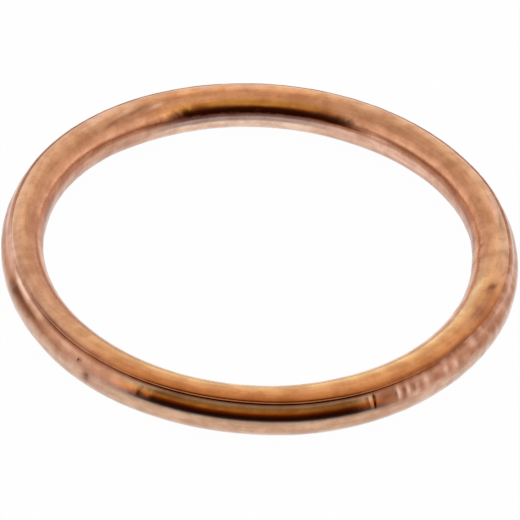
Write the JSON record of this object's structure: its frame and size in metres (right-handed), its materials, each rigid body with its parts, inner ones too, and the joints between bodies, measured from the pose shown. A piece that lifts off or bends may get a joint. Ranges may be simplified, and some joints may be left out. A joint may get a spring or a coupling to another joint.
{
  "type": "exhaust manifold gasket",
  "caption": "Copper crush ring folded from one sheet: hollow round-cornered section, smooth band lapped over the tucked end of a pleated bead, seam on the outer shoulder.",
  "frame": {"origin": "centre of the bore, on the plane of the bottom seat", "axes": "+Z along the bore's axis, out of the side with the seam; -Y is the side that faces the camera in the picture; +X is to the right there"},
  "size_m": [0.0432, 0.0432, 0.0039],
  "materials": {
    "copper": "bare rolled copper, satin on the band and brighter on the bead"
  },
  "bodies": {
    "root": {"crush_ring": "copper"}
  },
  "joints": []
}
